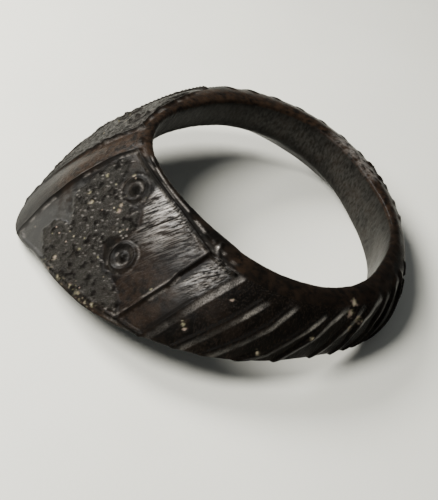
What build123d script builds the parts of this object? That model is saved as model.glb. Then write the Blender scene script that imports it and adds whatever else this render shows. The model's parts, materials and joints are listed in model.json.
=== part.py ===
from build123d import *
import math
import os

# Archer's thumb ring, cast in one piece: a hoop round the finger hole, whose front drops and flares
# into a keeled tongue with a rounded tip. All lengths are in millimetres and all angles in degrees.
# The ring's own frame has its origin in the finger hole, on the rim's plane. X runs from the tongue to
# the back of the hoop, and Z runs up the hole's axis. phi is the angle round the hole from the keel.

# Finger hole
hole_length = 21.8
hole_width = 23.2
bore_relief = 0.15
bore_wall_back = 5.0
bore_wall_side = 3.2
bore_wall_front = 2.7

# Hoop
rim_width = 2.3
rim_crown = 0.15
brow_drop = 0.4
back_wall = 2.2
back_height = 4.6
side_wall = 4.6
side_height = 5.3
hoop_bulge = 0.5

# Tongue
tip_flare = 7.7
tongue_drop = 12.7
keel_bulge = 1.0
edge_thickness = 0.8
edge_slant = 10.0

# Carved lines
groove_width = 0.75
groove_depth = 0.35
keel_land = 2.7
hatch_count = 11
hatch_width = 1.0
hatch_depth = 0.45
hatch_top_start = 73.0
hatch_top_step = 9.7
hatch_foot_start = 59.0
hatch_foot_step = 8.9

# How far the wedges that cut the grooves stand out of the surface
wedge_lift = 0.3

# Sections from the keel (phi 0) to the back of the hoop (phi 180). Each share is of the size that its
# column follows: hole of the oval's radius, rim of rim_width, flare of tip_flare, side of side_wall,
# back of back_wall, drop of tongue_drop, side_h of side_height, back_h of back_height, keel of
# keel_bulge and hoop of hoop_bulge.
SECTIONS = [
    # phi, hole, rim, flare, side, back, drop, side_h, back_h, keel, hoop
    (0, 1.021, 0.57, 1.00, 0.00, 0.00, 1.00, 0.00, 0.00, 1.00, 0.00),
    (6, 1.017, 0.55, 0.98, 0.00, 0.00, 0.97, 0.00, 0.00, 0.88, 0.00),
    (15, 1.006, 0.54, 0.90, 0.00, 0.00, 0.89, 0.00, 0.00, 0.55, 0.00),
    (30, 0.966, 0.62, 0.89, 0.05, 0.00, 0.78, 0.03, 0.00, 0.18, 0.10),
    (45, 0.936, 0.81, 0.85, 0.22, 0.00, 0.57, 0.27, 0.00, 0.05, 0.30),
    (60, 0.940, 1.00, 0.63, 0.56, 0.00, 0.27, 0.68, 0.00, 0.00, 0.70),
    (75, 0.970, 1.10, 0.31, 0.88, 0.00, 0.08, 0.93, 0.00, 0.00, 0.90),
    (90, 1.002, 1.10, 0.06, 0.91, 0.02, 0.01, 0.98, 0.01, 0.00, 1.00),
    (105, 1.028, 1.02, 0.00, 0.59, 0.22, 0.00, 0.78, 0.20, 0.00, 1.15),
    (120, 1.024, 0.96, 0.00, 0.27, 0.62, 0.00, 0.48, 0.53, 0.00, 1.30),
    (135, 0.993, 0.94, 0.00, 0.12, 0.96, 0.00, 0.24, 0.80, 0.00, 1.35),
    (150, 0.966, 0.87, 0.00, 0.02, 1.03, 0.00, 0.07, 0.95, 0.00, 1.10),
    (165, 0.968, 0.73, 0.00, 0.00, 0.73, 0.00, 0.00, 0.98, 0.00, 0.75),
    (180, 0.976, 0.63, 0.00, 0.00, 0.53, 0.00, 0.00, 0.96, 0.00, 0.55),
]

# The crown's place on the rim, as a share of the rim's width from the lip
CROWN_PLACE = 0.42

# Courses of the carved lines. share runs down the outer face from the brow (0) to the bottom edge (1),
# and deep is a share of the groove's depth.
KEEL_COURSE = [(0.0, 1.0), (0.25, 1.0), (0.5, 1.0), (0.75, 1.0), (1.0, 1.0)]
SIDE_COURSE = [(62.0, 0.02, 0.7), (59.5, 0.3, 1.0), (56.5, 0.6, 1.0), (52.0, 0.93, 1.0)]
HATCH_COURSE = [(0.06, 0.35), (0.5, 0.9), (1.0, 1.0)]
LIP_SHARE = 0.02
BORDER_SHARE = 0.95


def row_at(phi):
    """The section table's row at any phi, smooth through the rows on both sides of it."""
    last = len(SECTIONS) - 1
    low = max(i for i in range(last) if SECTIONS[i][0] <= max(phi, 0))
    a = SECTIONS[low]
    b = SECTIONS[low + 1]
    before = SECTIONS[low - 1] if low > 0 else (-b[0],) + b[1:]
    after = SECTIONS[low + 2] if low + 2 <= last else (2 * b[0] - a[0],) + a[1:]
    span = b[0] - a[0]
    t = (phi - a[0]) / span
    row = [phi]
    for k in range(1, len(a)):
        slope_a = (b[k] - before[k]) / (b[0] - before[0]) * span
        slope_b = (after[k] - a[k]) / (after[0] - a[0]) * span
        share = a[k] + t * slope_a
        share += t**2 * (3 * (b[k] - a[k]) - 2 * slope_a - slope_b)
        share += t**3 * (2 * (a[k] - b[k]) + slope_a + slope_b)
        row.append(share)
    return tuple(row)


def profile(row):
    """The ring's section at one row, as named points of (radius, height)."""
    phi, hole, rim, flare, side, back, drop, side_h, back_h, keel, hoop = row
    turn = math.radians(phi)
    inner = hole / math.hypot(2 * math.cos(turn) / hole_length, 2 * math.sin(turn) / hole_width)
    wall = flare * tip_flare + side * side_wall + back * back_wall
    depth = drop * tongue_drop + side_h * side_height + back_h * back_height
    bore_end = bore_wall_front if phi < 90 else bore_wall_back
    bore = bore_end + (bore_wall_side - bore_end) * math.sin(turn) ** 2
    brow = (inner + rim * rim_width, -brow_drop)
    edge = (inner + wall, -depth)
    slope = math.atan2(brow[1] - edge[1], edge[0] - brow[0])
    bulge = keel * keel_bulge + hoop * hoop_bulge
    belly_radius = (edge[0] + brow[0]) / 2 + bulge * math.sin(slope)
    belly_height = (edge[1] + brow[1]) / 2 + bulge * math.cos(slope)
    slant = math.radians(edge_slant)
    return {
        "lip": (inner, -rim_crown),
        "crown": (inner + CROWN_PLACE * rim * rim_width, 0),
        "brow": brow,
        "belly": (belly_radius, belly_height),
        "edge": edge,
        "under": (edge[0] - edge_thickness * math.cos(slant), edge[1] - edge_thickness * math.sin(slant)),
        "sill": (inner + bore_relief, -bore),
    }


def place(phi, point):
    """A section's point in the ring's own frame, on the near side of the keel."""
    turn = math.radians(phi)
    return Vector(-point[0] * math.cos(turn), -point[0] * math.sin(turn), point[1])


def section_wire(row):
    """The ring's section at one row: rounded rim, outer face, bottom edge, underside and bore."""
    at = {name: place(row[0], point) for name, point in profile(row).items()}
    return Wire([
        ThreePointArc(at["lip"], at["crown"], at["brow"]),
        ThreePointArc(at["brow"], at["belly"], at["edge"]),
        Line(at["edge"], at["under"]),
        Line(at["under"], at["sill"]),
        Line(at["sill"], at["lip"]),
    ])


def outer_point(phi, share):
    """A point of the outer face: share 0 is at the brow, 1 at the bottom edge."""
    at = profile(row_at(phi))
    point = []
    for brow, belly, edge in zip(at["brow"], at["belly"], at["edge"]):
        rise = 4 * share * (1 - share) * (belly - (brow + edge) / 2)
        point.append(brow + (edge - brow) * share + rise)
    return place(phi, point)


def outward(phi, share):
    """The outer face's normal."""
    round_the_hole = outer_point(phi + 0.5, share) - outer_point(phi - 0.5, share)
    down_the_face = outer_point(phi, share + 0.02) - outer_point(phi, share - 0.02)
    return down_the_face.cross(round_the_hole).normalized()


def carving(path, width, depth):
    """A wedge that cuts a V-groove along the path, given as (phi, share, deep)."""
    points = [outer_point(phi, share) for phi, share, deep in path]
    sections = []
    for i, (phi, share, deep) in enumerate(path):
        along = points[min(i + 1, len(path) - 1)] - points[max(i - 1, 0)]
        normal = outward(phi, share)
        across = normal.cross(along).normalized()
        half = (deep * depth + wedge_lift) * width / 2 / depth
        top = points[i] + normal * wedge_lift
        bottom = points[i] - normal * (deep * depth)
        sections.append(Wire.make_polygon([top + across * half, top - across * half, bottom], close=True))
    return Solid.make_loft(sections, ruled=True)


def keel_groove():
    """Runs down beside the keel's land, from the rim to the tip."""
    path = []
    for share, deep in KEEL_COURSE:
        crest = outer_point(0, share)
        path.append((math.degrees(math.asin(keel_land / 2 / abs(crest.X))), share, deep))
    return carving(path, groove_width, groove_depth)


def lip_groove():
    """Parts the rim from the panel, and runs on to the first slanting groove."""
    path = [(phi, LIP_SHARE, 1.0) for phi in range(6, 76, 6)]
    return carving(path, groove_width, groove_depth)


def side_groove():
    """Closes the panel towards the flank."""
    return carving(SIDE_COURSE, groove_width, groove_depth)


def border_groove():
    """Follows the panel's bottom edge."""
    path = [(phi, BORDER_SHARE, 1.0) for phi in range(6, 61, 6)]
    return carving(path, groove_width, groove_depth)


def hatch_grooves():
    """Slanting grooves down the flank to the bottom edge, deeper towards it."""
    grooves = []
    for i in range(hatch_count):
        top = hatch_top_start + i * hatch_top_step
        foot = hatch_foot_start + i * hatch_foot_step
        path = [(top + (foot - top) * share, share, deep) for share, deep in HATCH_COURSE]
        grooves.append(carving(path, hatch_width, hatch_depth))
    return grooves


def table_plane():
    """The table that the ring stands on: it touches the tip and the back's bottom edge."""
    tip = place(0, profile(SECTIONS[0])["under"])
    back_feet = [place(row[0], profile(row)["edge"]) for row in SECTIONS if row[0] > 90]
    pitch = min(math.atan2(foot.Z - tip.Z, foot.X - tip.X) for foot in back_feet)
    forward = Vector(math.cos(pitch), 0, math.sin(pitch))
    up = Vector(-math.sin(pitch), 0, math.cos(pitch))
    return Plane(origin=tip, x_dir=forward, z_dir=up)


near_half = Solid.make_loft([section_wire(row) for row in SECTIONS])
far_half = mirror(near_half, about=Plane.XZ)
cast_ring = near_half.fuse(far_half)

near_grooves = [keel_groove(), lip_groove(), side_groove(), border_groove()] + hatch_grooves()
far_grooves = [mirror(groove, about=Plane.XZ) for groove in near_grooves]
carved_ring = cast_ring.cut(*near_grooves, *far_grooves)

table = table_plane()
standing = table.to_local_coords(carved_ring)
box = standing.bounding_box()
centre_of_base = Vector(box.center().X, box.center().Y, box.min.Z)
thumb_ring = standing.moved(Location(-centre_of_base))

hole_centre = table.to_local_coords(Vector(0, 0, 0)) - centre_of_base
hole_axis = table.to_local_coords(Vector(0, 0, 1)) - table.to_local_coords(Vector(0, 0, 0))
print("solids", len(thumb_ring.solids()), "valid", thumb_ring.is_valid, "volume", round(thumb_ring.volume, 1))
print("box", thumb_ring.bounding_box().size)
print("hole centre", hole_centre, "axis", hole_axis)

os.makedirs("parts", exist_ok=True)
export_step(thumb_ring, "parts/thumb_ring.step")
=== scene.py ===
import json
import math

import bpy
import numpy as np
from mathutils import Matrix, Vector, noise


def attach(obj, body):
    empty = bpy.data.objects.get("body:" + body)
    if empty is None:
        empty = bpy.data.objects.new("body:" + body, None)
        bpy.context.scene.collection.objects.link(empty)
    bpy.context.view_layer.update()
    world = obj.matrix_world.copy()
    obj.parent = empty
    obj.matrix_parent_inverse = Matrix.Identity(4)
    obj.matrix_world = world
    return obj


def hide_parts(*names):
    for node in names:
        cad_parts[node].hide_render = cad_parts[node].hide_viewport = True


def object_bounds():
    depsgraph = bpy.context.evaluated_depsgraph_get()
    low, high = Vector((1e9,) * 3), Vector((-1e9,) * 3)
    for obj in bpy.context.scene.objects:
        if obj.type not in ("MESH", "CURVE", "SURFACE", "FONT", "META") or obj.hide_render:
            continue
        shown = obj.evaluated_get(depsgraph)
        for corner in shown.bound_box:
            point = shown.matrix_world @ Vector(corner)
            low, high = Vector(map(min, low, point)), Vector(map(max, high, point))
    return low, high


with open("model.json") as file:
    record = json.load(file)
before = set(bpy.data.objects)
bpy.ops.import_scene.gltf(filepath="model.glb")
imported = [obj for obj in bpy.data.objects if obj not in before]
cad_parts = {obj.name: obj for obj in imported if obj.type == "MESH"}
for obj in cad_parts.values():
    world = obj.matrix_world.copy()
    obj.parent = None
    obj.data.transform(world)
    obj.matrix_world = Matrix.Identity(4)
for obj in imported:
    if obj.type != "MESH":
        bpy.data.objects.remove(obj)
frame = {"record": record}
cad_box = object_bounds()


# The camera
# A hand-held close view from above the near side, a little towards the tongue, turned so that the
# ring's hole climbs to the right. It stands where the photograph was taken from, in the ring's frame.
MM = 0.001
view_azimuth = math.radians(7.50)
view_elevation = math.radians(38.26)
view_roll = math.radians(-10.56)
view_distance = 123.2 * MM
view_aim = Vector((0.66, -3.37, 2.74)) * MM
view_lens = 121.4
sensor_width = 36.0

forward = Vector((
    math.sin(view_azimuth) * math.cos(view_elevation),
    math.cos(view_azimuth) * math.cos(view_elevation),
    -math.sin(view_elevation),
))
level_right = forward.cross(Vector((0, 0, 1))).normalized()
level_up = level_right.cross(forward)
camera_up = level_up * math.cos(view_roll) + level_right * math.sin(view_roll)
camera_right = forward.cross(camera_up)

bpy.ops.object.camera_add(location=view_aim - forward * view_distance)
camera = bpy.context.object
camera.name = "photo_view"
camera.matrix_world = Matrix.Translation(camera.location) @ Matrix((
    (camera_right.x, camera_up.x, -forward.x),
    (camera_right.y, camera_up.y, -forward.y),
    (camera_right.z, camera_up.z, -forward.z),
)).to_4x4()
camera.data.sensor_fit = "HORIZONTAL"
camera.data.sensor_width = sensor_width
camera.data.lens = view_lens
camera.data.clip_start = 0.01
camera.data.clip_end = 10
bpy.context.scene.camera = camera


# The table
# A sheet of smooth, pale card, wide enough that its ends aren't seen. It is a plain rolled sheet
# with a faint mottle and the finest of grain.
def new_material(name):
    """An empty material, its node tree and the shader that it ends in."""
    material = bpy.data.materials.new(name)
    material.use_nodes = True
    tree = material.node_tree
    tree.nodes.clear()
    shader = tree.nodes.new("ShaderNodeBsdfPrincipled")
    output = tree.nodes.new("ShaderNodeOutputMaterial")
    tree.links.new(shader.outputs["BSDF"], output.inputs["Surface"])
    return material, tree, shader


def add_node(tree, kind, settings=None, **inputs):
    """Adds a node. An input is named, or is its socket's number after an i, and may be a value or
    another node's output."""
    node = tree.nodes.new(kind)
    for key, value in (settings or {}).items():
        setattr(node, key, value)
    for key, value in inputs.items():
        numbered = key[0] == "i" and key[1:].isdigit()
        socket = node.inputs[int(key[1:])] if numbered else node.inputs[key]
        if isinstance(value, bpy.types.NodeSocket):
            tree.links.new(value, socket)
        else:
            socket.default_value = value
    return node


def calculate(tree, operation, first, second=0.0):
    """One step of arithmetic. Each side is a value or another node's output."""
    return add_node(tree, "ShaderNodeMath", {"operation": operation}, i0=first, i1=second).outputs[0]


def blend(tree, factor, first, second):
    """Mixes two colours by a factor held between 0 and 1."""
    settings = {"data_type": "RGBA", "clamp_factor": True}
    return add_node(tree, "ShaderNodeMix", settings, i0=factor, i6=first, i7=second).outputs[2]


def between(tree, value, low, high):
    """0 below low, 1 above high and smooth between them."""
    settings = {"clamp": True, "interpolation_type": "SMOOTHSTEP"}
    node = add_node(tree, "ShaderNodeMapRange", settings, i0=value, i1=low, i2=high, i3=0.0, i4=1.0)
    return node.outputs[0]


def position_in_mm(tree, along=Vector((1, 0, 0)), stretch=1.0):
    """Object coordinates in millimetres. Patterns on them are drawn out by stretch along a direction."""
    coordinates = tree.nodes.new("ShaderNodeTexCoord").outputs["Object"]
    turn = along.to_track_quat("X", "Z").to_euler()
    settings = {"vector_type": "TEXTURE"}
    scale = (MM * stretch, MM, MM)
    node = add_node(tree, "ShaderNodeMapping", settings, Vector=coordinates, Rotation=turn, Scale=scale)
    return node.outputs[0]


def speckle_group():
    """Two patterns for any surface: a soft mottle and a fine grain, each with a size in millimetres."""
    group = bpy.data.node_groups.new("mottle_and_grain", "ShaderNodeTree")
    group.interface.new_socket("Position", in_out="INPUT", socket_type="NodeSocketVector")
    group.interface.new_socket("Mottle Size", in_out="INPUT", socket_type="NodeSocketFloat")
    group.interface.new_socket("Grain Size", in_out="INPUT", socket_type="NodeSocketFloat")
    group.interface.new_socket("Mottle", in_out="OUTPUT", socket_type="NodeSocketFloat")
    group.interface.new_socket("Grain", in_out="OUTPUT", socket_type="NodeSocketFloat")
    enter = group.nodes.new("NodeGroupInput")
    leave = group.nodes.new("NodeGroupOutput")
    for size, result in (("Mottle Size", "Mottle"), ("Grain Size", "Grain")):
        rate = calculate(group, "DIVIDE", 1.0, enter.outputs[size])
        pattern = add_node(group, "ShaderNodeTexNoise", None, Vector=enter.outputs["Position"], Scale=rate)
        pattern.inputs["Detail"].default_value = 4.0
        pattern.inputs["Roughness"].default_value = 0.6
        group.links.new(pattern.outputs["Fac"], leave.inputs[result])
    return group


mottle_and_grain = speckle_group()


def add_mottle(tree, position, mottle_size, grain_size):
    """Places the two patterns in a material, and returns the mottle and the grain."""
    node = tree.nodes.new("ShaderNodeGroup")
    node.node_tree = mottle_and_grain
    tree.links.new(position, node.inputs["Position"])
    node.inputs["Mottle Size"].default_value = mottle_size
    node.inputs["Grain Size"].default_value = grain_size
    return node.outputs["Mottle"], node.outputs["Grain"]


table_size = 1.6
card_relief = 0.2 * MM
card_colour = (0.86, 0.855, 0.765, 1)
card_shade = (0.82, 0.815, 0.73, 1)

bpy.ops.object.select_all(action="DESELECT")
bpy.ops.mesh.primitive_plane_add(size=table_size, location=(0, 0, 0))
table = bpy.context.object
table.name = "card_table"
card, tree, shader = new_material("pale_card")
mottle, grain = add_mottle(tree, position_in_mm(tree), mottle_size=30.0, grain_size=0.4)
mottled_card = blend(tree, between(tree, mottle, 0.35, 0.65), card_shade, card_colour)
tree.links.new(mottled_card, shader.inputs["Base Color"])
shader.inputs["Roughness"].default_value = 0.55
shader.inputs["Specular IOR Level"].default_value = 0.25
bump = add_node(tree, "ShaderNodeBump", None, Strength=0.08, Distance=card_relief, Height=grain)
tree.links.new(bump.outputs[0], shader.inputs["Normal"])
table.data.materials.append(card)


# The light
# Soft daylight from a window beyond the ring and to its left, more of it from the left and nearer
# the camera, both aimed a little beyond the ring, and a little from the room all round.
def soft_light(name, azimuth, elevation, distance, size, power, colour):
    """An area light in a direction from the ring, aimed a little beyond it. Azimuth 0 is beyond the
    ring's back, at +X, and 90 is away from the camera."""
    turn = math.radians(azimuth)
    rise = math.radians(elevation)
    direction = Vector((math.cos(turn) * math.cos(rise), math.sin(turn) * math.cos(rise), math.sin(rise)))
    bpy.ops.object.light_add(type="AREA", location=direction * distance)
    light = bpy.context.object
    light.name = name
    light.data.shape = "DISK"
    light.data.size = size
    light.data.energy = power
    light.data.color = colour
    light.rotation_euler = (light.location - light_aim).to_track_quat("Z", "Y").to_euler()


light_aim = Vector((-14, 14, 0)) * MM
soft_light("window_beyond", 140, 44, 120 * MM, 60 * MM, 0.250, (1.0, 0.985, 0.950))
soft_light("window_left", 212, 55, 140 * MM, 66 * MM, 0.284, (1.0, 0.99, 0.955))

world = bpy.data.worlds.new("room")
world.use_nodes = True
room_light = world.node_tree.nodes["Background"]
room_light.inputs["Color"].default_value = (0.80, 0.84, 0.88, 1)
room_light.inputs["Strength"].default_value = 0.15
bpy.context.scene.world = world


# The ring
# One casting of bronze: a hoop round the finger hole whose front drops and flares into a keeled
# tongue. A circle is turned round the hole's axis and pulled to the ring's sections, and its corners
# are worn round.

# Sizes in millimetres, as in the solid. The ring's own frame has its origin in the hole, on the rim's
# plane, and X runs from the tongue to the back. phi is the angle from the keel, positive on the near
# side.
hole_length = 21.8
hole_width = 23.2
bore_relief = 0.15
bore_wall_back = 5.0
bore_wall_side = 3.2
bore_wall_front = 2.7
rim_width = 2.3
rim_crown = 0.15
brow_drop = 0.4
crown_place = 0.42
back_wall = 2.2
back_height = 4.6
side_wall = 4.6
side_height = 5.3
hoop_bulge = 0.5
tip_flare = 7.7
tongue_drop = 12.7
keel_bulge = 1.0
edge_thickness = 0.8
edge_slant = math.radians(10)

# Shares of the sizes above, as in the solid: hole of the oval's radius, rim of rim_width, flare of
# tip_flare, side of side_wall, back of back_wall, drop of tongue_drop, side_h of side_height, back_h
# of back_height, keel of keel_bulge and hoop of hoop_bulge.
SECTION_NAMES = ("phi", "hole", "rim", "flare", "side", "back", "drop", "side_h", "back_h", "keel", "hoop")
SECTIONS = np.array([
    (0, 1.021, 0.57, 1.00, 0.00, 0.00, 1.00, 0.00, 0.00, 1.00, 0.00),
    (6, 1.017, 0.55, 0.98, 0.00, 0.00, 0.97, 0.00, 0.00, 0.88, 0.00),
    (15, 1.006, 0.54, 0.90, 0.00, 0.00, 0.89, 0.00, 0.00, 0.55, 0.00),
    (30, 0.966, 0.62, 0.89, 0.05, 0.00, 0.78, 0.03, 0.00, 0.18, 0.10),
    (45, 0.936, 0.81, 0.85, 0.22, 0.00, 0.57, 0.27, 0.00, 0.05, 0.30),
    (60, 0.940, 1.00, 0.63, 0.56, 0.00, 0.27, 0.68, 0.00, 0.00, 0.70),
    (75, 0.970, 1.10, 0.31, 0.88, 0.00, 0.08, 0.93, 0.00, 0.00, 0.90),
    (90, 1.002, 1.10, 0.06, 0.91, 0.02, 0.01, 0.98, 0.01, 0.00, 1.00),
    (105, 1.028, 1.02, 0.00, 0.59, 0.22, 0.00, 0.78, 0.20, 0.00, 1.15),
    (120, 1.024, 0.96, 0.00, 0.27, 0.62, 0.00, 0.48, 0.53, 0.00, 1.30),
    (135, 0.993, 0.94, 0.00, 0.12, 0.96, 0.00, 0.24, 0.80, 0.00, 1.35),
    (150, 0.966, 0.87, 0.00, 0.02, 1.03, 0.00, 0.07, 0.95, 0.00, 1.10),
    (165, 0.968, 0.73, 0.00, 0.00, 0.73, 0.00, 0.00, 0.98, 0.00, 0.75),
    (180, 0.976, 0.63, 0.00, 0.00, 0.53, 0.00, 0.00, 0.96, 0.00, 0.55),
])


def share_at(name, phi):
    """Reads a column of the section table at any phi, smooth through its rows."""
    turns = SECTIONS[:, 0]
    values = SECTIONS[:, SECTION_NAMES.index(name)]
    slopes = np.gradient(values, turns)
    slopes[0] = slopes[-1] = 0
    phi = np.abs(phi)
    low = np.clip(np.searchsorted(turns, phi, side="right") - 1, 0, len(turns) - 2)
    span = turns[low + 1] - turns[low]
    t = (phi - turns[low]) / span
    rise = values[low + 1] - values[low]
    start = slopes[low] * span
    end = slopes[low + 1] * span
    return values[low] + t * start + t**2 * (3 * rise - 2 * start - end) + t**3 * (start + end - 2 * rise)


def section_points(phi):
    """The section's named corners at each phi, as arrays of (radius, height)."""
    turn = np.radians(phi)
    inner = share_at("hole", phi) / np.hypot(2 * np.cos(turn) / hole_length, 2 * np.sin(turn) / hole_width)
    rim = share_at("rim", phi) * rim_width
    level = np.zeros_like(inner)
    wall = share_at("flare", phi) * tip_flare + share_at("side", phi) * side_wall
    wall += share_at("back", phi) * back_wall
    depth = share_at("drop", phi) * tongue_drop + share_at("side_h", phi) * side_height
    depth += share_at("back_h", phi) * back_height
    bore_end = np.where(np.cos(turn) > 0, bore_wall_front, bore_wall_back)
    bore = bore_end + (bore_wall_side - bore_end) * np.sin(turn) ** 2
    brow = np.stack([inner + rim, level - brow_drop], -1)
    edge = np.stack([inner + wall, -depth], -1)
    fall = edge - brow
    slope = np.arctan2(-fall[..., 1], fall[..., 0])
    bulge = share_at("keel", phi) * keel_bulge + share_at("hoop", phi) * hoop_bulge
    outward = np.stack([np.sin(slope), np.cos(slope)], -1)
    under_step = np.array([math.cos(edge_slant), math.sin(edge_slant)]) * edge_thickness
    return {
        "lip": np.stack([inner, level - rim_crown], -1),
        "crown": np.stack([inner + crown_place * rim, level], -1),
        "brow": brow,
        "belly": (brow + edge) / 2 + outward * bulge[..., None],
        "edge": edge,
        "under": edge - under_step,
        "sill": np.stack([inner + bore_relief, -bore], -1),
    }


def along_bow(start, middle, end, t):
    """A point on the shallow bow from start to end that passes through middle."""
    t = np.asarray(t)[..., None]
    return start + (end - start) * t + 4 * t * (1 - t) * (middle - (start + end) / 2)


def in_ring_frame(phi, point):
    """Turns a section's (radius, height) into x, y, z."""
    turn = np.radians(phi)
    return np.stack([-point[..., 0] * np.cos(turn), -point[..., 0] * np.sin(turn), point[..., 1]], -1)


def on_outer_face(phi, share):
    """A point of the outer face. share runs from the brow (0) to the bottom edge (1), and below 0 it
    runs back over the rim to the lip (-1)."""
    phi, share = np.broadcast_arrays(np.asarray(phi, float), np.asarray(share, float))
    at = section_points(phi)
    face = along_bow(at["brow"], at["belly"], at["edge"], np.maximum(share, 0))
    rim = along_bow(at["brow"], at["crown"], at["lip"], np.maximum(-share, 0))
    return in_ring_frame(phi, np.where(share[..., None] >= 0, face, rim))


# Rows of the mesh round one section: from the lip over the rim, down the outer face, under the
# bottom edge and back up the bore. A part is (name, rows, first share, last share).
PARTS = (("rim", 18, -1, 0), ("face", 86, 0, 1), ("edge", 4, 0, 1), ("under", 14, 0, 1), ("bore", 18, 0, 1))
ROWS = sum(count for _, count, _, _ in PARTS)

# Sections round the hole, and the degrees by which they crowd towards the tongue and the near side
STATIONS = 704
front_crowding = 11.5
near_crowding = 8.6

# The plain hoop that is pulled to the ring's sections: the radius of its wire, and its own
wire_radius = 3 * MM
hoop_radius = 14 * MM

bpy.ops.object.select_all(action="DESELECT")
bpy.ops.mesh.primitive_circle_add(vertices=ROWS, radius=wire_radius, rotation=(math.radians(90), 0, 0))
ring = bpy.context.object
ring.name = "thumb_ring_casting"
ring.data.name = "thumb_ring_casting"
ring.location.x = -hoop_radius
bpy.ops.object.transform_apply(location=True, rotation=True, scale=True)
turning = ring.modifiers.new("turning", "SCREW")
turning.axis = "Z"
turning.angle = math.radians(360)
turning.steps = STATIONS
turning.render_steps = STATIONS
bpy.ops.object.modifier_apply(modifier="turning")


def smooth_casting():
    """The ring before it was carved. Returns phi of each station, the share and the part of each row,
    and the points."""
    turn = 2 * np.pi * np.arange(STATIONS) / STATIONS
    phi = np.degrees(turn) - front_crowding * np.sin(turn) - near_crowding * (1 - np.cos(turn))
    phi = np.where(phi > 180, phi - 360, phi)
    share = np.concatenate([low + (high - low) * np.arange(count) / count for _, count, low, high in PARTS])
    part = np.concatenate([[name] * count for name, count, _, _ in PARTS])
    at = {name: point[:, None, :] for name, point in section_points(phi).items()}
    outer_share = share[(part == "rim") | (part == "face")]
    pieces = [on_outer_face(phi[:, None], outer_share[None, :])]
    for name, start, end in (("edge", "edge", "under"), ("under", "under", "sill"), ("bore", "sill", "lip")):
        t = share[part == name][None, :, None]
        pieces.append(in_ring_frame(phi[:, None], at[start] + (at[end] - at[start]) * t))
    return phi, share, part, np.concatenate(pieces, 1)


# How many rows on each side of a part's first row are worn round, and in how many passes
CORNER_WEAR = (("rim", 4, 7), ("face", 6, 14), ("edge", 2, 3), ("under", 2, 3), ("bore", 4, 8))


def wear_corners(points, part):
    """Rounds the lip, the brow, the bottom edge's two corners and the sill."""
    for name, reach, passes in CORNER_WEAR:
        rows = (int(np.argmax(part == name)) + np.arange(-reach, reach + 1)) % ROWS
        for _ in range(passes):
            middle = (points[:, rows - 1] + points[:, (rows + 1) % ROWS]) / 2
            points[:, rows] = (points[:, rows] + middle) / 2
    return points


def outward_normals(points):
    """The surface's normal at each point of the mesh."""
    round_the_hole = np.roll(points, -1, 0) - np.roll(points, 1, 0)
    down_the_face = np.roll(points, -1, 1) - np.roll(points, 1, 1)
    normal = np.cross(round_the_hole, down_the_face)
    return normal / np.linalg.norm(normal, axis=-1, keepdims=True)


def smooth_step(value, low, high):
    """0 below low, 1 above high and smooth between them."""
    t = np.clip((value - low) / (high - low), 0, 1)
    return t * t * (3 - 2 * t)


def fading(value, low, high):
    """1 below low, 0 above high and smooth between them."""
    return smooth_step(-value, -high, -low)


def noise_at(points, size, octaves=3, seed=0.0):
    """Smooth noise, mostly between -1 and 1, with patches of the given size."""
    offset = Vector((seed, 0.7 * seed, -seed))
    values = [noise.fractal(Vector(p) + offset, 0.9, 2.0, octaves) for p in (points / size).reshape(-1, 3)]
    return np.array(values).reshape(points.shape[:-1])


def grains_at(points, size, seed=0.0):
    """Rounded grains of the given size: 1 at a grain's middle, 0 between grains."""
    offset = Vector((seed, -seed, 0.3 * seed))
    near = [noise.voronoi(Vector(p) + offset)[0][0] for p in (points / size).reshape(-1, 3)]
    return np.clip(1 - 1.6 * np.array(near).reshape(points.shape[:-1]), 0, 1)


phi, share, part, smooth = smooth_casting()
smooth = wear_corners(smooth, part)
normal = outward_normals(smooth)
phi_grid = np.repeat(phi[:, None], ROWS, 1)
share_grid = np.repeat(share[None, :], STATIONS, 0)
on_outside = np.repeat(((part == "rim") | (part == "face"))[None, :], STATIONS, 0)
on_rim = np.repeat((part == "rim")[None, :], STATIONS, 0)
on_face = np.repeat((part == "face")[None, :], STATIONS, 0)
in_bore = np.repeat((part == "bore")[None, :], STATIONS, 0)
underneath = np.repeat((part == "under")[None, :], STATIONS, 0)
turned = np.abs(phi_grid)
far_turn = -phi_grid

# What is carved, rubbed or grown on the casting: the height added along the normal in millimetres,
# and shares from 0 to 1 of dark grime with painted shade, bright rubbed metal with painted highlights,
# earth and a smooth polish, for the finish
height = np.zeros((STATIONS, ROWS))
grime_and_shade = np.zeros((STATIONS, ROWS))
rubbed_and_highlight = np.zeros((STATIONS, ROWS))
earth = np.zeros((STATIONS, ROWS))
polished = np.zeros((STATIONS, ROWS))

# The carved lines
# Cut with a graver: a line each side of the keel, one between the rim and each panel, one closing
# each panel at its side and one along its bottom edge, and a notch over the near rim. A place is
# (phi, share, depth share). A groove's bottom is painted dark as shade and its edges are rubbed. A
# groove ends over its runout, and its painted shade and rubbed edges over its fade.
line_half_width = 0.24
line_runout = 0.3
line_fade = 0.2
shade_half_width = 0.15
rubbed_half_width = 0.09
keel_depth = 0.26
side_depth = 0.26
rim_depth = 0.30
far_rim_depth = 0.25
border_depth = 0.20
notch_depth = 0.20
KEEL_LINE_NEAR = [
    (6.2, 0.0, 0.9), (4.6, 0.12, 0.8), (4.3, 0.4, 0.8), (4.8, 0.6, 1.0), (5.1, 0.8, 0.9), (4.8, 0.98, 0.5),
]
KEEL_LINE_FAR = [(-8.6, -0.05, 1.0), (-7.6, 0.2, 1.0), (-8.0, 0.5, 0.9), (-8.4, 0.8, 0.6), (-8.0, 0.95, 0.3)]
RIM_LINE = [
    (7.5, 0.0, 0.7), (18.8, -0.13, 1.0), (31.1, -0.20, 1.1), (42.3, -0.20, 1.1), (52.9, -0.12, 1.1),
    (62.5, 0.01, 1.2), (67.5, 0.01, 1.1), (72.6, 0.03, 1.2),
]
SIDE_LINE = [(61.9, 0.03, 1.0), (58.2, 0.32, 1.0), (57.7, 0.44, 1.0), (54.8, 0.68, 1.0), (51.7, 0.94, 0.8)]
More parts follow.
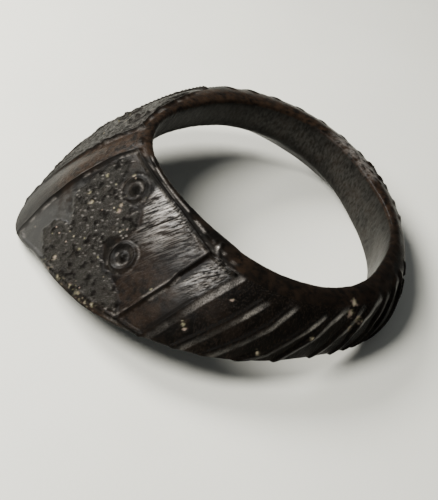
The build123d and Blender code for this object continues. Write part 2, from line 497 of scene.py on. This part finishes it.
BORDER_LINE = [
    (6.2, 0.95, 0.5), (8.6, 0.97, 0.8), (18.6, 0.97, 0.8), (24.8, 0.96, 0.8), (34.4, 0.94, 0.7),
    (42.7, 0.93, 0.8), (52.3, 0.94, 1.0), (59.0, 0.98, 1.0),
]
RIM_LINE_FADING = RIM_LINE[:4] + [(52.9, -0.12, 0.5), (60, -0.05, 0.0)]
RIM_NOTCH = [(66.1, 0.0, 0.7), (64.0, -0.24, 1.0), (63.4, -0.46, 0.7)]


def mirrored(course):
    """The same line on the far side."""
    return [(-turn, place, deep) for turn, place, deep in course]


# How finely a course is sampled between its places, and the degrees beyond it that are looked at
course_steps = 14
course_margin = 9


def measure_from(course):
    """For the outer points near a course: which they are, how far each lies across it (positive to the
    right of its way down the face), how far past its end, and the depth share there."""
    places = np.array(course, float)
    steps = np.linspace(0, len(places) - 1, course_steps * (len(places) - 1) + 1)
    low = np.minimum(steps.astype(int), len(places) - 2)
    t = (steps - low)[:, None]
    dense = places[low] * (1 - t) + places[low + 1] * t
    line = on_outer_face(dense[:, 0], dense[:, 1])
    turns = dense[:, 0]
    near = on_outside & (phi_grid > turns.min() - course_margin) & (phi_grid < turns.max() + course_margin)
    offsets = smooth[near][:, None, :] - line[None, :, :]
    nearest = np.argmin((offsets**2).sum(-1), 1)
    offset = offsets[np.arange(len(nearest)), nearest]
    tangent = np.gradient(line, axis=0)[nearest]
    tangent = tangent / np.linalg.norm(tangent, axis=-1, keepdims=True)
    travelled = (offset * tangent).sum(-1)
    side = np.cross(normal[near], tangent)
    away = np.sqrt(np.maximum((offset**2).sum(-1) - travelled**2, 0))
    across = away * np.sign((offset * side).sum(-1))
    at_start = (nearest == 0) & (travelled < 0)
    at_end = (nearest == len(line) - 1) & (travelled > 0)
    past_end = np.where(at_start | at_end, np.abs(travelled), 0)
    return near, across, past_end, dense[nearest, 2]


def cut_line(course, depth, wall_left, wall_right, burr=0.012):
    """Lowers the points along a course into a groove with a wall of its own width on each side."""
    near, across, past_end, deep = measure_from(course)
    wall = np.where(across > 0, wall_right, wall_left)
    reach = np.hypot(across / wall, past_end / line_runout)
    height[near] -= depth * deep * np.maximum(0, 1 - np.sqrt(reach**2 + 0.01))
    height[near] += burr * deep * np.exp(-(((reach - 1.15) / 0.2) ** 2))
    # The groove's bottom is painted dark as shade
    painted_shade = np.exp(-((across / shade_half_width) ** 2) - (past_end / line_fade) ** 2) * np.minimum(deep, 1)
    grime_and_shade[near] = np.maximum(grime_and_shade[near], painted_shade)
    from_edge = (np.abs(across) - wall) / rubbed_half_width
    rim_of_cut = np.exp(-(from_edge**2) - (past_end / line_fade) ** 2)
    here_and_there = smooth_step(noise_at(smooth[near], 1.3, 3, seed=71.0), 0.0, 0.4)
    rubbed_and_highlight[near] = np.maximum(rubbed_and_highlight[near], 0.3 * deep * rim_of_cut * here_and_there)


cut_line(KEEL_LINE_NEAR, keel_depth, wall_left=0.34, wall_right=0.22)
cut_line(KEEL_LINE_FAR, keel_depth, wall_left=0.22, wall_right=0.50)
cut_line(RIM_NOTCH, notch_depth, line_half_width, line_half_width)
near_lines = [(RIM_LINE, rim_depth), (SIDE_LINE, side_depth), (BORDER_LINE, border_depth)]
far_lines = [(RIM_LINE_FADING, far_rim_depth)] + near_lines[1:]
for course, depth in near_lines:
    cut_line(course, depth, line_half_width, line_half_width)
for course, depth in far_lines:
    cut_line(mirrored(course), depth, line_half_width, line_half_width)

# The slanting cuts
# Each flank is scored with slanting grooves, each with a steep wall towards the tongue that is painted
# dark as shade and a broad one towards the back that is painted bright as a highlight, so that the
# lands between them look like folds. The near ones follow the photograph's own spacing and the far
# ones are even.
steep_wall = 0.22
broad_wall = 0.55
first_broad_wall = 0.66
slant_depth = 0.30
slant_runout = 0.5
slant_fade = 0.25
NEAR_SLANTS = [
    [(73.4, 0.00, 0.5), (66.9, 0.40, 0.6), (59.2, 1.0, 0.5)],
    [(83.6, 0.14, 0.4), (80.5, 0.32, 0.6), (76.9, 0.51, 0.7), (67.5, 0.99, 0.5)],
    [(92.9, 0.05, 0.3), (87.9, 0.41, 0.8), (82.2, 0.69, 0.9), (74.8, 0.98, 0.5)],
    [(103.2, 0.10, 0.3), (97.4, 0.43, 1.0), (90.2, 0.82, 1.0), (83.3, 0.99, 0.5)],
    [(112.1, -0.11, 0.2), (105.9, 0.20, 0.7), (101.9, 0.51, 1.0), (94.0, 0.99, 0.5)],
    [(119.5, -0.09, 0.2), (111.3, 0.45, 0.7), (106.3, 1.0, 0.5)],
    [(129.5, -0.13, 0.3), (120.3, 0.18, 0.7), (117.0, 0.45, 0.8), (114.8, 0.99, 0.6)],
    [(134.2, -0.01, 0.3), (126.5, 0.30, 0.8), (120.9, 0.96, 0.6)],
    [(145.9, -0.11, 0.3), (134.6, 0.19, 0.9), (128.3, 0.50, 1.0), (125.4, 0.98, 0.6)],
    [(150.8, -0.04, 0.5), (143.8, 0.24, 1.0), (139.7, 0.54, 1.0), (132.7, 0.97, 0.7)],
    [(159.5, 0.02, 0.5), (150.7, 0.36, 1.0), (145.2, 0.98, 0.6)],
]
far_slant_count = 11
far_top_start = 73.0
far_top_step = 9.7
far_foot_start = 59.0
far_foot_step = 8.9


def far_slant(index):
    """The course of one of the far flank's even cuts."""
    top = far_top_start + index * far_top_step
    foot = far_foot_start + index * far_foot_step
    places = [(-0.08, 0.35), (0.2, 0.6), (0.5, 1.0), (0.8, 1.0), (1.0, 0.5)]
    return [(-(top + (foot - top) * place), place, deep) for place, deep in places]


def cut_slant(course, wall_left, wall_right):
    """A cut whose broad wall is painted bright as a highlight and whose steep wall is painted dark as shade.
    """
    near, across, past_end, deep = measure_from(course)
    wall = np.where(across > 0, wall_right, wall_left)
    reach = np.hypot(across / wall, past_end / slant_runout)
    height[near] -= slant_depth * deep * np.maximum(0, 1 - np.sqrt(reach**2 + 0.006))
    ends = np.exp(-((past_end / slant_fade) ** 2)) * np.minimum(1.6 * deep, 1)
    on_broad = across if wall_right > wall_left else -across
    # The steep wall is painted dark as shade
    painted_shade = smooth_step(on_broad, -0.42, -0.22) * fading(on_broad, -0.02, 0.10)
    grime_and_shade[near] = np.maximum(grime_and_shade[near], painted_shade * ends)

    # The painted highlight on the broad wall, in polish and bright metal, is strongest at its outer edge,
    # high on the flank and towards the tongue
    outer_edge = max(wall_left, wall_right)
    glint = ends * smooth_step(on_broad, 0.06, 0.8 * outer_edge)
    glint *= fading(on_broad, outer_edge - 0.02, outer_edge + 0.10)
    glint *= 0.15 + 0.85 * fading(share_grid[near], 0.22, 0.65)
    glint *= 1 - 0.45 * smooth_step(phi_grid[near], 98, 120)
    glint *= 0.4 + 0.6 * smooth_step(noise_at(smooth[near], 1.1, 3, seed=73.0), -0.2, 0.3)
    # Painted highlight: the glint is laid in as polish and bright metal on the broad wall
    polished[near] = np.maximum(polished[near], glint)
    rubbed_and_highlight[near] = np.maximum(rubbed_and_highlight[near], glint)


cut_slant(NEAR_SLANTS[0], wall_left=first_broad_wall, wall_right=steep_wall)
for course in NEAR_SLANTS[1:]:
    cut_slant(course, wall_left=broad_wall, wall_right=steep_wall)
for index in range(far_slant_count):
    cut_slant(far_slant(index), wall_left=steep_wall, wall_right=broad_wall)

# The struck marks
# Ring-and-dot marks struck into the panels, three on each. A ring is (radius, half width, height).
# Two of the near ones are clear and the third is nearly worn away.
MARK_UPPER = [(0.0, 0.36, -0.34), (0.62, 0.14, 0.05), (0.98, 0.15, -0.13), (1.36, 0.13, 0.03)]
MARK_LOWER = [(0.0, 0.30, -0.26), (0.62, 0.13, 0.06), (1.08, 0.20, -0.17), (1.42, 0.10, 0.05)]
MARK_WORN = [(0.0, 0.28, -0.12), (0.72, 0.14, -0.05), (1.0, 0.12, 0.03)]
mark_reach = 2.2

# Where they are struck on a panel: (phi, share, rings)
MARKS = ((22.8, 0.13, MARK_UPPER), (40.2, 0.51, MARK_LOWER), (17.0, 0.76, MARK_WORN))


def strike(turn, place, rings):
    """Strikes a mark: its sunken rings are painted dark as shade, and its raised ones are rubbed in places.
    """
    middle = on_outer_face(turn, place)
    near = on_outside & (np.linalg.norm(smooth - middle, axis=-1) < mark_reach)
    distance = np.linalg.norm(smooth[near] - middle, axis=-1)
    distance = distance * (1 + 0.06 * noise_at(smooth[near], 1.1, 2, seed=turn))
    worn_unevenly = smooth_step(noise_at(smooth[near], 0.7, 3, seed=turn + 5), -0.2, 0.5)
    for radius, half_width, raised in rings:
        ring_share = np.exp(-(((distance - radius) / half_width) ** 2))
        height[near] += raised * ring_share
        # Sunken rings are painted dark as shade
        if raised < 0:
            grime_and_shade[near] = np.maximum(grime_and_shade[near], np.minimum(1, -3.5 * raised) * ring_share**2)
        else:
            rubbed_and_highlight[near] = np.maximum(rubbed_and_highlight[near], 5 * raised * worn_unevenly * ring_share**2)


for turn, place, rings in MARKS:
    strike(turn, place, rings)
    strike(-turn, place, rings)

# The corrosion
# Long burial has eaten the middle of each panel below its polished skin: a sunken, granular patch
# with a ragged edge, worst beside the keel. The outline is (phi, share), on the near panel.
sunken_depth = 0.11
near_grain_size = 0.36
near_grain_height = 0.095
pit_size = 0.55
pit_depth = 0.16
far_grain_size = 0.44
far_relief = 0.13
PATCH = [
    (7.4, 0.10), (11.2, 0.05), (16.9, 0.20), (23.8, 0.23), (31.7, 0.20), (36.0, 0.29), (34.8, 0.38),
    (31.9, 0.47), (31.4, 0.55), (35.7, 0.64), (40.5, 0.69), (45.8, 0.72), (49.1, 0.80), (51.1, 0.90),
    (43.6, 0.92), (35.1, 0.93), (24.8, 0.95), (17.3, 0.93), (12.3, 0.82), (11.9, 0.71), (17.1, 0.64),
    (14.0, 0.56), (9.6, 0.48), (7.8, 0.30),
]


# How finely an outline is sampled between its corners, and the degrees beyond it that are looked at
outline_steps = 8
outline_margin = 12


def patch_share(outline, ragged, softness, seed):
    """How far each point is inside an outline: 0 outside, 1 well inside. ragged is how far the edge
    wanders, and softness is its width."""
    corners = np.array(outline, float)
    closed = np.concatenate([corners, corners[:1]])
    inside = np.zeros(phi_grid.shape, bool)
    for (x0, y0), (x1, y1) in zip(closed[:-1], closed[1:]):
        spans = (share_grid < y0) != (share_grid < y1)
        crossing = x0 + (share_grid - y0) * (x1 - x0) / ((y1 - y0) or 1e-9)
        inside ^= spans & (phi_grid < crossing)
    steps = np.linspace(0, len(corners), outline_steps * len(corners), endpoint=False)
    low = steps.astype(int)
    t = (steps - low)[:, None]
    dense = closed[low] * (1 - t) + closed[low + 1] * t
    line = on_outer_face(dense[:, 0], dense[:, 1])
    turns = corners[:, 0]
    near = on_outside & (phi_grid > turns.min() - outline_margin) & (phi_grid < turns.max() + outline_margin)
    distance = np.sqrt(((smooth[near][:, None, :] - line[None]) ** 2).sum(-1).min(1))
    signed = np.where(inside[near], distance, -distance) + ragged * noise_at(smooth[near], 0.8, 3, seed=seed)
    result = np.zeros(phi_grid.shape)
    result[near] = smooth_step(signed, -softness / 2, softness / 2)
    return result


near_patch = patch_share(PATCH, ragged=0.30, softness=0.34, seed=3.0)
far_patch = patch_share([(-turn, place) for turn, place in PATCH], ragged=0.4, softness=0.5, seed=8.0)
far_field = 0.8 * on_face * smooth_step(far_turn, 9, 13) * fading(far_turn, 46, 57)
far_patch = np.maximum(far_patch, far_field)

# The near patch is coarser towards the rim. Its grains are rubbed on top, its pits are painted black as
# shade, and grains stand along its ragged lip with painted shade between them
eaten = near_patch > 0.01
depth_eaten = near_patch[eaten]
coarse = 0.25 + 0.75 * fading(share_grid[eaten], 0.62, 0.80)
grains = grains_at(smooth[eaten], near_grain_size, seed=1.0)
pits = np.minimum(0, noise_at(smooth[eaten], pit_size, 3, seed=5.0))
rough = near_grain_height * grains * coarse + (pit_depth - 0.06 * coarse) * pits
lip = 4 * depth_eaten * (1 - depth_eaten)
height[eaten] += depth_eaten * (rough - sunken_depth) + 0.05 * lip * (grains - 0.4)
grain_tops = 0.5 * coarse * smooth_step(grains, 0.55, 0.85)
rubbed_and_highlight[eaten] = np.maximum(rubbed_and_highlight[eaten] * (1 - 0.4 * depth_eaten), grain_tops)
# Painted shade: the pits and the gaps between the lip's grains are darkened
grime_and_shade[eaten] = np.maximum(grime_and_shade[eaten], 0.9 * smooth_step(-pits, 0.2, 0.5))
grime_and_shade[eaten] = np.maximum(grime_and_shade[eaten], 0.6 * lip * (1 - grains))
lip_tops = lip * smooth_step(phi_grid[eaten], 32, 38) * smooth_step(grains, 0.35, 0.7)
rubbed_and_highlight[eaten] = np.maximum(rubbed_and_highlight[eaten], 0.6 * lip_tops)

# The far panel is lumpier, and nearly all of it is eaten
far_eaten = far_patch > 0.01
far_grains = grains_at(smooth[far_eaten], far_grain_size, seed=2.0)
lumps = noise_at(smooth[far_eaten], 0.9, 4, seed=11.0) + 0.8 * far_grains
height[far_eaten] += far_patch[far_eaten] * far_relief * (lumps - 1)
rubbed_and_highlight[far_eaten] = np.maximum(rubbed_and_highlight[far_eaten], 0.35 * smooth_step(far_grains, 0.5, 0.85))

# Round the near patch the skin is roughened here and there
roughened = smooth_step(phi_grid, 4, 9) * fading(phi_grid, 24, 38) * on_face
roughened *= smooth_step(noise_at(smooth, 0.7, 4, seed=83.0), -0.4, 0.2)
pitted = np.maximum(np.maximum(near_patch, far_patch), 0.5 * roughened)

# Wear and dirt
# The rim has a flat worn band beside its line and a bright ridge where the string ran, the edges are
# rubbed, and grains of earth are caught in the hollows.
ridge_height = 0.07
band_drop = 0.06
roll_off = 0.10
rim_band = on_rim * smooth_step(phi_grid, 9, 14) * fading(phi_grid, 66, 73)
ridge_place = np.interp(phi_grid, [9, 43, 56, 62, 70], [-0.49, -0.50, -0.37, -0.26, -0.2])
ridge = rim_band * np.exp(-(((share_grid - ridge_place) / 0.045) ** 2))
beside_ridge = rim_band * smooth_step(share_grid - ridge_place, 0.04, 0.1)
height += ridge_height * ridge - band_drop * beside_ridge * smooth_step(-share_grid, 0.0, 0.2)
height -= roll_off * rim_band * smooth_step(ridge_place - share_grid, 0.05, 0.6)
broken = smooth_step(noise_at(smooth[on_rim], 1.4, 3, seed=21.0), -0.35, 0.1)
rubbed_and_highlight[on_rim] = np.maximum(rubbed_and_highlight[on_rim], ridge[on_rim] * broken)

# The far rim is rubbed in patches too
string_wear = on_rim * smooth_step(far_turn, 116, 124) * fading(far_turn, 144, 152)
string_wear *= np.exp(-(((share_grid + 0.55) / 0.30) ** 2))
string_wear *= smooth_step(noise_at(smooth, 0.5, 3, seed=87.0), -0.5, 0.2)
rubbed_and_highlight = np.maximum(rubbed_and_highlight, 0.5 * string_wear)

# Grains of earth, black specks and nicks, each (phi, share, radius, height)
EARTH_SPECKS = [
    (16.3, 0.43, 0.14, 0.06), (25.8, 0.31, 0.16, 0.08), (24.7, 0.27, 0.10, 0.05), (10.8, 0.24, 0.14, 0.04),
    (12.6, 0.40, 0.10, 0.05), (17.3, 0.09, 0.13, 0.06), (27.3, 0.70, 0.10, 0.05), (23.1, 0.88, 0.14, 0.04),
    (34.7, 0.93, 0.13, 0.04), (28.9, 0.96, 0.11, 0.04), (38.5, 0.94, 0.11, 0.04), (44.0, 0.94, 0.10, 0.04),
    (67.1, 0.73, 0.15, 0.06), (68.0, 0.77, 0.14, 0.05), (75.5, 0.28, 0.10, 0.04), (54.4, 0.58, 0.08, 0.03),
    (116.6, -0.17, 0.24, 0.08), (114.2, 0.07, 0.27, 0.09), (118.1, 0.19, 0.27, 0.09),
    (115.4, 0.31, 0.22, 0.07), (102.3, 0.50, 0.12, 0.04), (88.2, 0.84, 0.12, 0.04),
    (-38.6, 0.45, 0.20, 0.06), (-27.0, 0.30, 0.16, 0.06),
]
BLACK_SPECKS = [(155.3, 0.17, 0.20, 0.20), (56.4, -0.50, 0.12, 0.05), (49.6, -0.55, 0.10, 0.04)]
NICKS = [
    (-138.7, -0.12, 0.30, -0.16), (-146.9, -0.12, 0.32, -0.18), (0.8, -0.17, 0.42, -0.12),
    (61.0, -0.40, 0.20, -0.08), (-121.5, -0.42, 0.22, -0.05), (-127.0, -0.36, 0.26, -0.06),
    (-132.6, -0.50, 0.22, -0.05), (-143.2, -0.48, 0.26, -0.06), (-150.5, -0.40, 0.24, -0.05),
]


def add_speck(turn, place, radius, raised):
    """Raises or sinks a small ragged spot, and returns how far each point is within it."""
    distance = np.linalg.norm(smooth - on_outer_face(turn, place), axis=-1)
    near = distance < 3 * radius
    distance[near] *= 1 + 0.7 * noise_at(smooth[near], 0.22, 2, seed=turn)
    spot = np.exp(-((distance / radius) ** 4))
    height[:] += raised * spot
    return spot


for speck in EARTH_SPECKS:
    earth = np.maximum(earth, add_speck(*speck))
for speck in BLACK_SPECKS + NICKS:
    grime_and_shade = np.maximum(grime_and_shade, 0.8 * add_speck(*speck))

# Crumbs of earth along the near panel's bottom line
crumb_size = 0.32
fringe = on_face * np.exp(-(((share_grid - 0.955) / 0.022) ** 2))
fringe *= smooth_step(phi_grid, 18, 24) * fading(phi_grid, 44, 50)
fringed = fringe > 0.05
crumbs = smooth_step(grains_at(smooth[fringed], crumb_size, seed=6.0), 0.35, 0.6)
earth[fringed] = np.maximum(earth[fringed], 0.55 * fringe[fringed] * crumbs)

# The whole casting is a little uneven, and rougher in the hole and on the rim's inner half
wave_height = 0.035
ripple_height = 0.012
inner_roughness = 0.02
waves = wave_height * noise_at(smooth, 2.8, 2, seed=31.0)
ripples = ripple_height * noise_at(smooth, 0.6, 2, seed=37.0)
inner_roll = on_rim & (share_grid < -0.45) | in_bore
height += np.where(inner_roll, inner_roughness * noise_at(smooth, 0.45, 3, seed=41.0), 0) + waves + ripples

# Fibrous scratches beside the rim's line, where the skin was filed and then rubbed bright. Their
# brightness fades down the panel and towards the back partly as a painted highlight falloff, and a few
# run down the first land beside it. The outline is (phi, share).
stroke_width = 0.17
stroke_height = 0.04
stroke_stretch = 0.88
FILED = [
    (27.6, -0.04), (31.3, 0.15), (36.8, 0.23), (36.0, 0.42), (40.0, 0.66), (50.1, 0.61), (56.7, 0.42),
    (60.7, 0.04), (50.5, -0.11), (38.6, -0.17),
]
file_stroke = on_outer_face(49.5, 0.01) - on_outer_face(41.8, 0.36)
file_stroke = file_stroke / np.linalg.norm(file_stroke)
filed = patch_share(FILED, ragged=0.15, softness=0.5, seed=51.0) * (1 - near_patch)
# Painted highlight falloff: the filed brightness fades down the panel and towards the back
filed *= 0.9 - 0.86 * smooth_step(share_grid, 0.0, 0.46)
filed *= 1 - 0.75 * smooth_step(phi_grid, 42, 52)
slanted = phi_grid + 12 * share_grid
first_land = on_face * smooth_step(slanted, 63.5, 66) * fading(slanted, 70, 74)
filed = np.maximum(filed, 0.5 * first_land * fading(share_grid, 0.2, 0.6))
marked = filed > 0.01
drawn_out = smooth[marked] - stroke_stretch * (smooth[marked] @ file_stroke)[:, None] * file_stroke
strokes = noise_at(drawn_out, stroke_width, 3, seed=61.0)
height[marked] += stroke_height * filed[marked] * strokes
bright_strokes = filed[marked] * smooth_step(strokes, -0.05, 0.45)
dark_strokes = filed[marked] * smooth_step(-strokes, 0.05, 0.45)
rubbed_and_highlight[marked] = np.maximum(rubbed_and_highlight[marked], 0.42 * bright_strokes)
polished[marked] = np.maximum(polished[marked], bright_strokes)
grime_and_shade[marked] = np.maximum(grime_and_shade[marked], 0.8 * dark_strokes)

carved = smooth + normal * height[..., None]

# The finish reads what stands proud and what lies low from a softened copy. What lies low is painted
# dark as shade
softening_passes = 10
soft = carved.copy()
for _ in range(softening_passes):
    sides = np.roll(soft, 1, 0) + np.roll(soft, -1, 0) + np.roll(soft, 1, 1) + np.roll(soft, -1, 1)
    soft = soft / 2 + sides / 8
proud = ((carved - soft) * normal).sum(-1)
edge_wear = smooth_step(proud, 0.012, 0.06)
# Painted shade in everything that lies low
grime_and_shade = np.maximum(grime_and_shade, 0.6 * smooth_step(-proud, 0.015, 0.07))

# The patina is redder on the keel, the rim and the near panel's plain corner, and worn grey at the
# tip and beside the rim's ridge. The skin between the patch and the tip is smoother.
keel_land = on_face * smooth_step(phi_grid, -8.5, -7) * fading(phi_grid, 3.5, 5)
plain_corner = on_face * smooth_step(phi_grid, 40, 47) * fading(phi_grid, 58, 64)
reddened = keel_land * fading(share_grid, 0.45, 0.75)
reddened = np.maximum(reddened, 0.9 * on_rim * (1 - rim_band))
reddened = np.maximum(reddened, 0.5 * plain_corner * smooth_step(share_grid, 0.3, 0.5))
greyed = on_face * fading(turned, 10, 26) * smooth_step(share_grid, 0.5, 0.8)
greyed = np.maximum(greyed, 0.4 * beside_ridge)
tip_skin = on_face * smooth_step(phi_grid, 5, 8) * fading(phi_grid, 15, 26) * (1 - near_patch)
polished = np.maximum(polished, 0.36 * tip_skin * smooth_step(share_grid, 0.3, 0.5))

# A black coat is left on the near rim beyond its notch. The same black is painted as shade on the
# flanks, the far panel's top and far side and the bore's top and foot, the underside is darker, and
# fine scratches run down the flanks, the keel and the plain corner
coat_and_shade = np.maximum.reduce((
    0.80 * on_face * smooth_step(turned, 66, 94),
    0.75 * on_rim * smooth_step(phi_grid, 64, 84),
    0.80 * on_face * smooth_step(far_turn, 24, 44) * fading(share_grid, 0.02, 0.22),
    0.70 * on_face * smooth_step(far_turn, 46, 58),
    0.50 * in_bore * smooth_step(share_grid, 0.55, 0.95),
    0.60 * in_bore * fading(share_grid, 0.05, 0.4) * fading(turned, 115, 150),
    0.60 * underneath,
))
coat_and_shade *= 0.7 + 0.3 * smooth_step(noise_at(smooth, 1.6, 3, seed=91.0), -0.4, 0.3)
hatched = np.maximum.reduce((on_face * smooth_step(turned, 60, 74), 0.8 * keel_land, 0.5 * plain_corner))

# The ring's place on the table, from the CAD record's own mount for the finger
mount = next(m for m in frame["record"]["mounts"] if m["name"] == "finger_hole")
hole_axis = Vector(mount["axis"]).normalized()
pitch = math.atan2(hole_axis.x, hole_axis.z)


def stand(vectors):
    """Turns vectors from the ring's own frame to the way that it rests on the table."""
    x = vectors[..., 0] * math.cos(pitch) + vectors[..., 2] * math.sin(pitch)
    z = vectors[..., 2] * math.cos(pitch) - vectors[..., 0] * math.sin(pitch)
    return np.stack([x, vectors[..., 1], z], -1)


placed = stand(carved) * MM + np.array(mount["pos_m"])
placed = np.clip(placed, np.array(cad_box[0]), np.array(cad_box[1]))
ring.data.vertices.foreach_set("co", placed.reshape(-1))
ring.data.update()
MASKS = {
    "grime_and_shade": grime_and_shade, "rubbed_and_highlight": rubbed_and_highlight, "edge_wear": edge_wear, "earth": earth, "pitted": pitted,
    "filed": filed, "reddened": reddened, "greyed": greyed, "bore": in_bore.astype(float),
    "polished": polished, "coat_and_shade": coat_and_shade, "hatched": hatched,
}
for name, values in MASKS.items():
    attribute = ring.data.attributes.new(name, "FLOAT", "POINT")
    attribute.data.foreach_set("value", values.reshape(-1).astype(np.float32))

bpy.ops.object.select_all(action="DESELECT")
ring.select_set(True)
bpy.context.view_layer.objects.active = ring
bpy.ops.object.mode_set(mode="EDIT")
bpy.ops.mesh.select_all(action="SELECT")
bpy.ops.mesh.normals_make_consistent(inside=False)
bpy.ops.object.mode_set(mode="OBJECT")
bpy.ops.object.shade_smooth()

# The bronze
# Near-black brown patina over bronze, redder where it is thin, grey where handling has worn it, and
# bright metal on rubbed edges. Corroded parts are matt and granular, with beige and greenish earth.
# Shade is painted in black into hollows, grooves, the flanks and the bore, and highlights in bright
# metal onto the slanting cuts' broad walls.
PATINA_BLACK = (0.0035, 0.0030, 0.0025, 1)
PATINA_BROWN = (0.0110, 0.0078, 0.0056, 1)
RED_BROWN = (0.022, 0.0135, 0.0085, 1)
WORN_GREY = (0.022, 0.0217, 0.0204, 1)
BORE_GREY = (0.033, 0.0318, 0.0280, 1)
PIT_GREY = (0.0130, 0.0120, 0.0098, 1)
# Bright metal for rubbed places and painted highlights; black for grime and painted shade
BRIGHT_METAL_AND_HIGHLIGHT = (0.42, 0.385, 0.35, 1)
GRIME_AND_SHADE_BLACK = (0.004, 0.0035, 0.003, 1)
SCRATCH_BROWN = (0.032, 0.022, 0.015, 1)
EARTH_BEIGE = (0.27, 0.235, 0.165, 1)
EARTH_PINK = (0.24, 0.18, 0.145, 1)
EARTH_GREEN = (0.15, 0.14, 0.085, 1)
bronze_relief = 0.07 * MM


def mask(tree, name, amount=1.0):
    """One of the ring's masks, times an amount that may be another node's output."""
    strength = add_node(tree, "ShaderNodeAttribute", {"attribute_name": name}).outputs["Fac"]
    return calculate(tree, "MULTIPLY", strength, amount)


def finish_bronze():
    """The bronze of the whole ring."""
    bronze, tree, shader = new_material("patinated_bronze")
    position = position_in_mm(tree)
    along_strokes = position_in_mm(tree, Vector(stand(file_stroke)), stretch=14.0)
    down_the_bore = position_in_mm(tree, hole_axis, stretch=2.4)
    down_the_flank = position_in_mm(tree, hole_axis, stretch=12.0)
    mottle, grain = add_mottle(tree, position, mottle_size=1.7, grain_size=0.10)
    clouds, flecks = add_mottle(tree, position, mottle_size=0.55, grain_size=0.045)
    _, scratches = add_mottle(tree, along_strokes, mottle_size=1.0, grain_size=0.12)
    streaks, _ = add_mottle(tree, down_the_bore, mottle_size=0.20, grain_size=1.0)
    _, hatching = add_mottle(tree, down_the_flank, mottle_size=1.0, grain_size=0.14)

    # The patina
    colour = blend(tree, between(tree, mottle, 0.40, 0.66), PATINA_BLACK, PATINA_BROWN)
    colour = blend(tree, mask(tree, "reddened", between(tree, clouds, 0.36, 0.62)), colour, RED_BROWN)
    colour = blend(tree, mask(tree, "greyed", 0.75), colour, WORN_GREY)
    colour = blend(tree, mask(tree, "pitted", between(tree, clouds, 0.25, 0.6)), colour, PIT_GREY)
    colour = blend(tree, mask(tree, "bore", between(tree, streaks, 0.22, 0.80)), colour, BORE_GREY)

    # Bright metal, where it is rubbed, stands proud, was filed or glints in the corrosion, and painted
    # highlights in bright metal on the slanting cuts' broad walls
    edge = mask(tree, "edge_wear", between(tree, clouds, 0.45, 0.62))
    filed = mask(tree, "filed", between(tree, scratches, 0.46, 0.66))
    glints = mask(tree, "pitted", between(tree, flecks, 0.60, 0.70))
    rub_and_highlight = mask(tree, "rubbed_and_highlight", between(tree, grain, 0.30, 0.60))
    for brightness, place in ((0.03, edge), (0.7, filed), (0.35, glints)):
        rub_and_highlight = calculate(tree, "MAXIMUM", rub_and_highlight, calculate(tree, "MULTIPLY", place, brightness))
    colour = blend(tree, rub_and_highlight, colour, BRIGHT_METAL_AND_HIGHLIGHT)

    # Black dirt and old coating together with painted shade in the same black, with fine brown scratches
    dirt_and_shade = calculate(tree, "MAXIMUM", mask(tree, "grime_and_shade"), mask(tree, "coat_and_shade"))
    colour = blend(tree, calculate(tree, "SUBTRACT", dirt_and_shade, mask(tree, "polished")), colour, GRIME_AND_SHADE_BLACK)
    hatch = mask(tree, "hatched", between(tree, hatching, 0.50, 0.66))
    colour = blend(tree, calculate(tree, "MULTIPLY", hatch, 0.28), colour, SCRATCH_BROWN)

    # Earth: the grains that were placed, and loose crumbs in the corrosion
    cells = add_node(tree, "ShaderNodeTexVoronoi", {"feature": "F1"}, Vector=position, Scale=3.4)
    kinds = add_node(tree, "ShaderNodeSeparateColor", None, Color=cells.outputs["Color"])
    chosen = between(tree, kinds.outputs[0], 0.95, 0.97)
    core = calculate(tree, "SUBTRACT", 1.0, between(tree, cells.outputs["Distance"], 0.16, 0.40))
    loose = mask(tree, "pitted", calculate(tree, "MULTIPLY", chosen, core))
    earth = calculate(tree, "MAXIMUM", mask(tree, "earth"), calculate(tree, "MULTIPLY", loose, 0.8))
    soil = blend(tree, between(tree, kinds.outputs[1], 0.35, 0.65), EARTH_BEIGE, EARTH_PINK)
    soil = blend(tree, between(tree, kinds.outputs[2], 0.6, 0.7), soil, EARTH_GREEN)
    colour = blend(tree, earth, colour, soil)
    tree.links.new(colour, shader.inputs["Base Color"])

    # Rubbed places and painted highlights are bare metal, dirt and painted shade are dull, and what is
    # pitted, greyed or earthy is rough
    metal = calculate(tree, "MULTIPLY", rub_and_highlight, 0.95)
    metal = calculate(tree, "MULTIPLY", metal, calculate(tree, "SUBTRACT", 1.0, earth))
    tree.links.new(metal, shader.inputs["Metallic"])
    shine = calculate(tree, "SUBTRACT", 0.055, calculate(tree, "MULTIPLY", dirt_and_shade, 0.045))
    shine = calculate(tree, "ADD", shine, mask(tree, "polished", 0.7))
    tree.links.new(shine, shader.inputs["Specular IOR Level"])
    rough = calculate(tree, "ADD", 0.24, calculate(tree, "MULTIPLY", grain, 0.16))
    rough = calculate(tree, "ADD", rough, mask(tree, "pitted", 0.12))
    rough = calculate(tree, "ADD", rough, mask(tree, "greyed", 0.24))
    rough = calculate(tree, "ADD", rough, calculate(tree, "MULTIPLY", earth, 0.4))
    tree.links.new(rough, shader.inputs["Roughness"])

    # The finest relief: grain, grit in the corrosion, file marks and scratches
    relief = calculate(tree, "MULTIPLY", grain, 0.35)
    relief = calculate(tree, "ADD", relief, mask(tree, "pitted", calculate(tree, "MULTIPLY", flecks, 1.2)))
    relief = calculate(tree, "ADD", relief, mask(tree, "filed", scratches))
    relief = calculate(tree, "ADD", relief, calculate(tree, "MULTIPLY", hatch, 0.4))
    bump = add_node(tree, "ShaderNodeBump", None, Strength=0.7, Distance=bronze_relief, Height=relief)
    tree.links.new(bump.outputs[0], shader.inputs["Normal"])
    return bronze


ring.data.materials.clear()
ring.data.materials.append(finish_bronze())
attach(ring, "root")
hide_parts("thumb_ring")
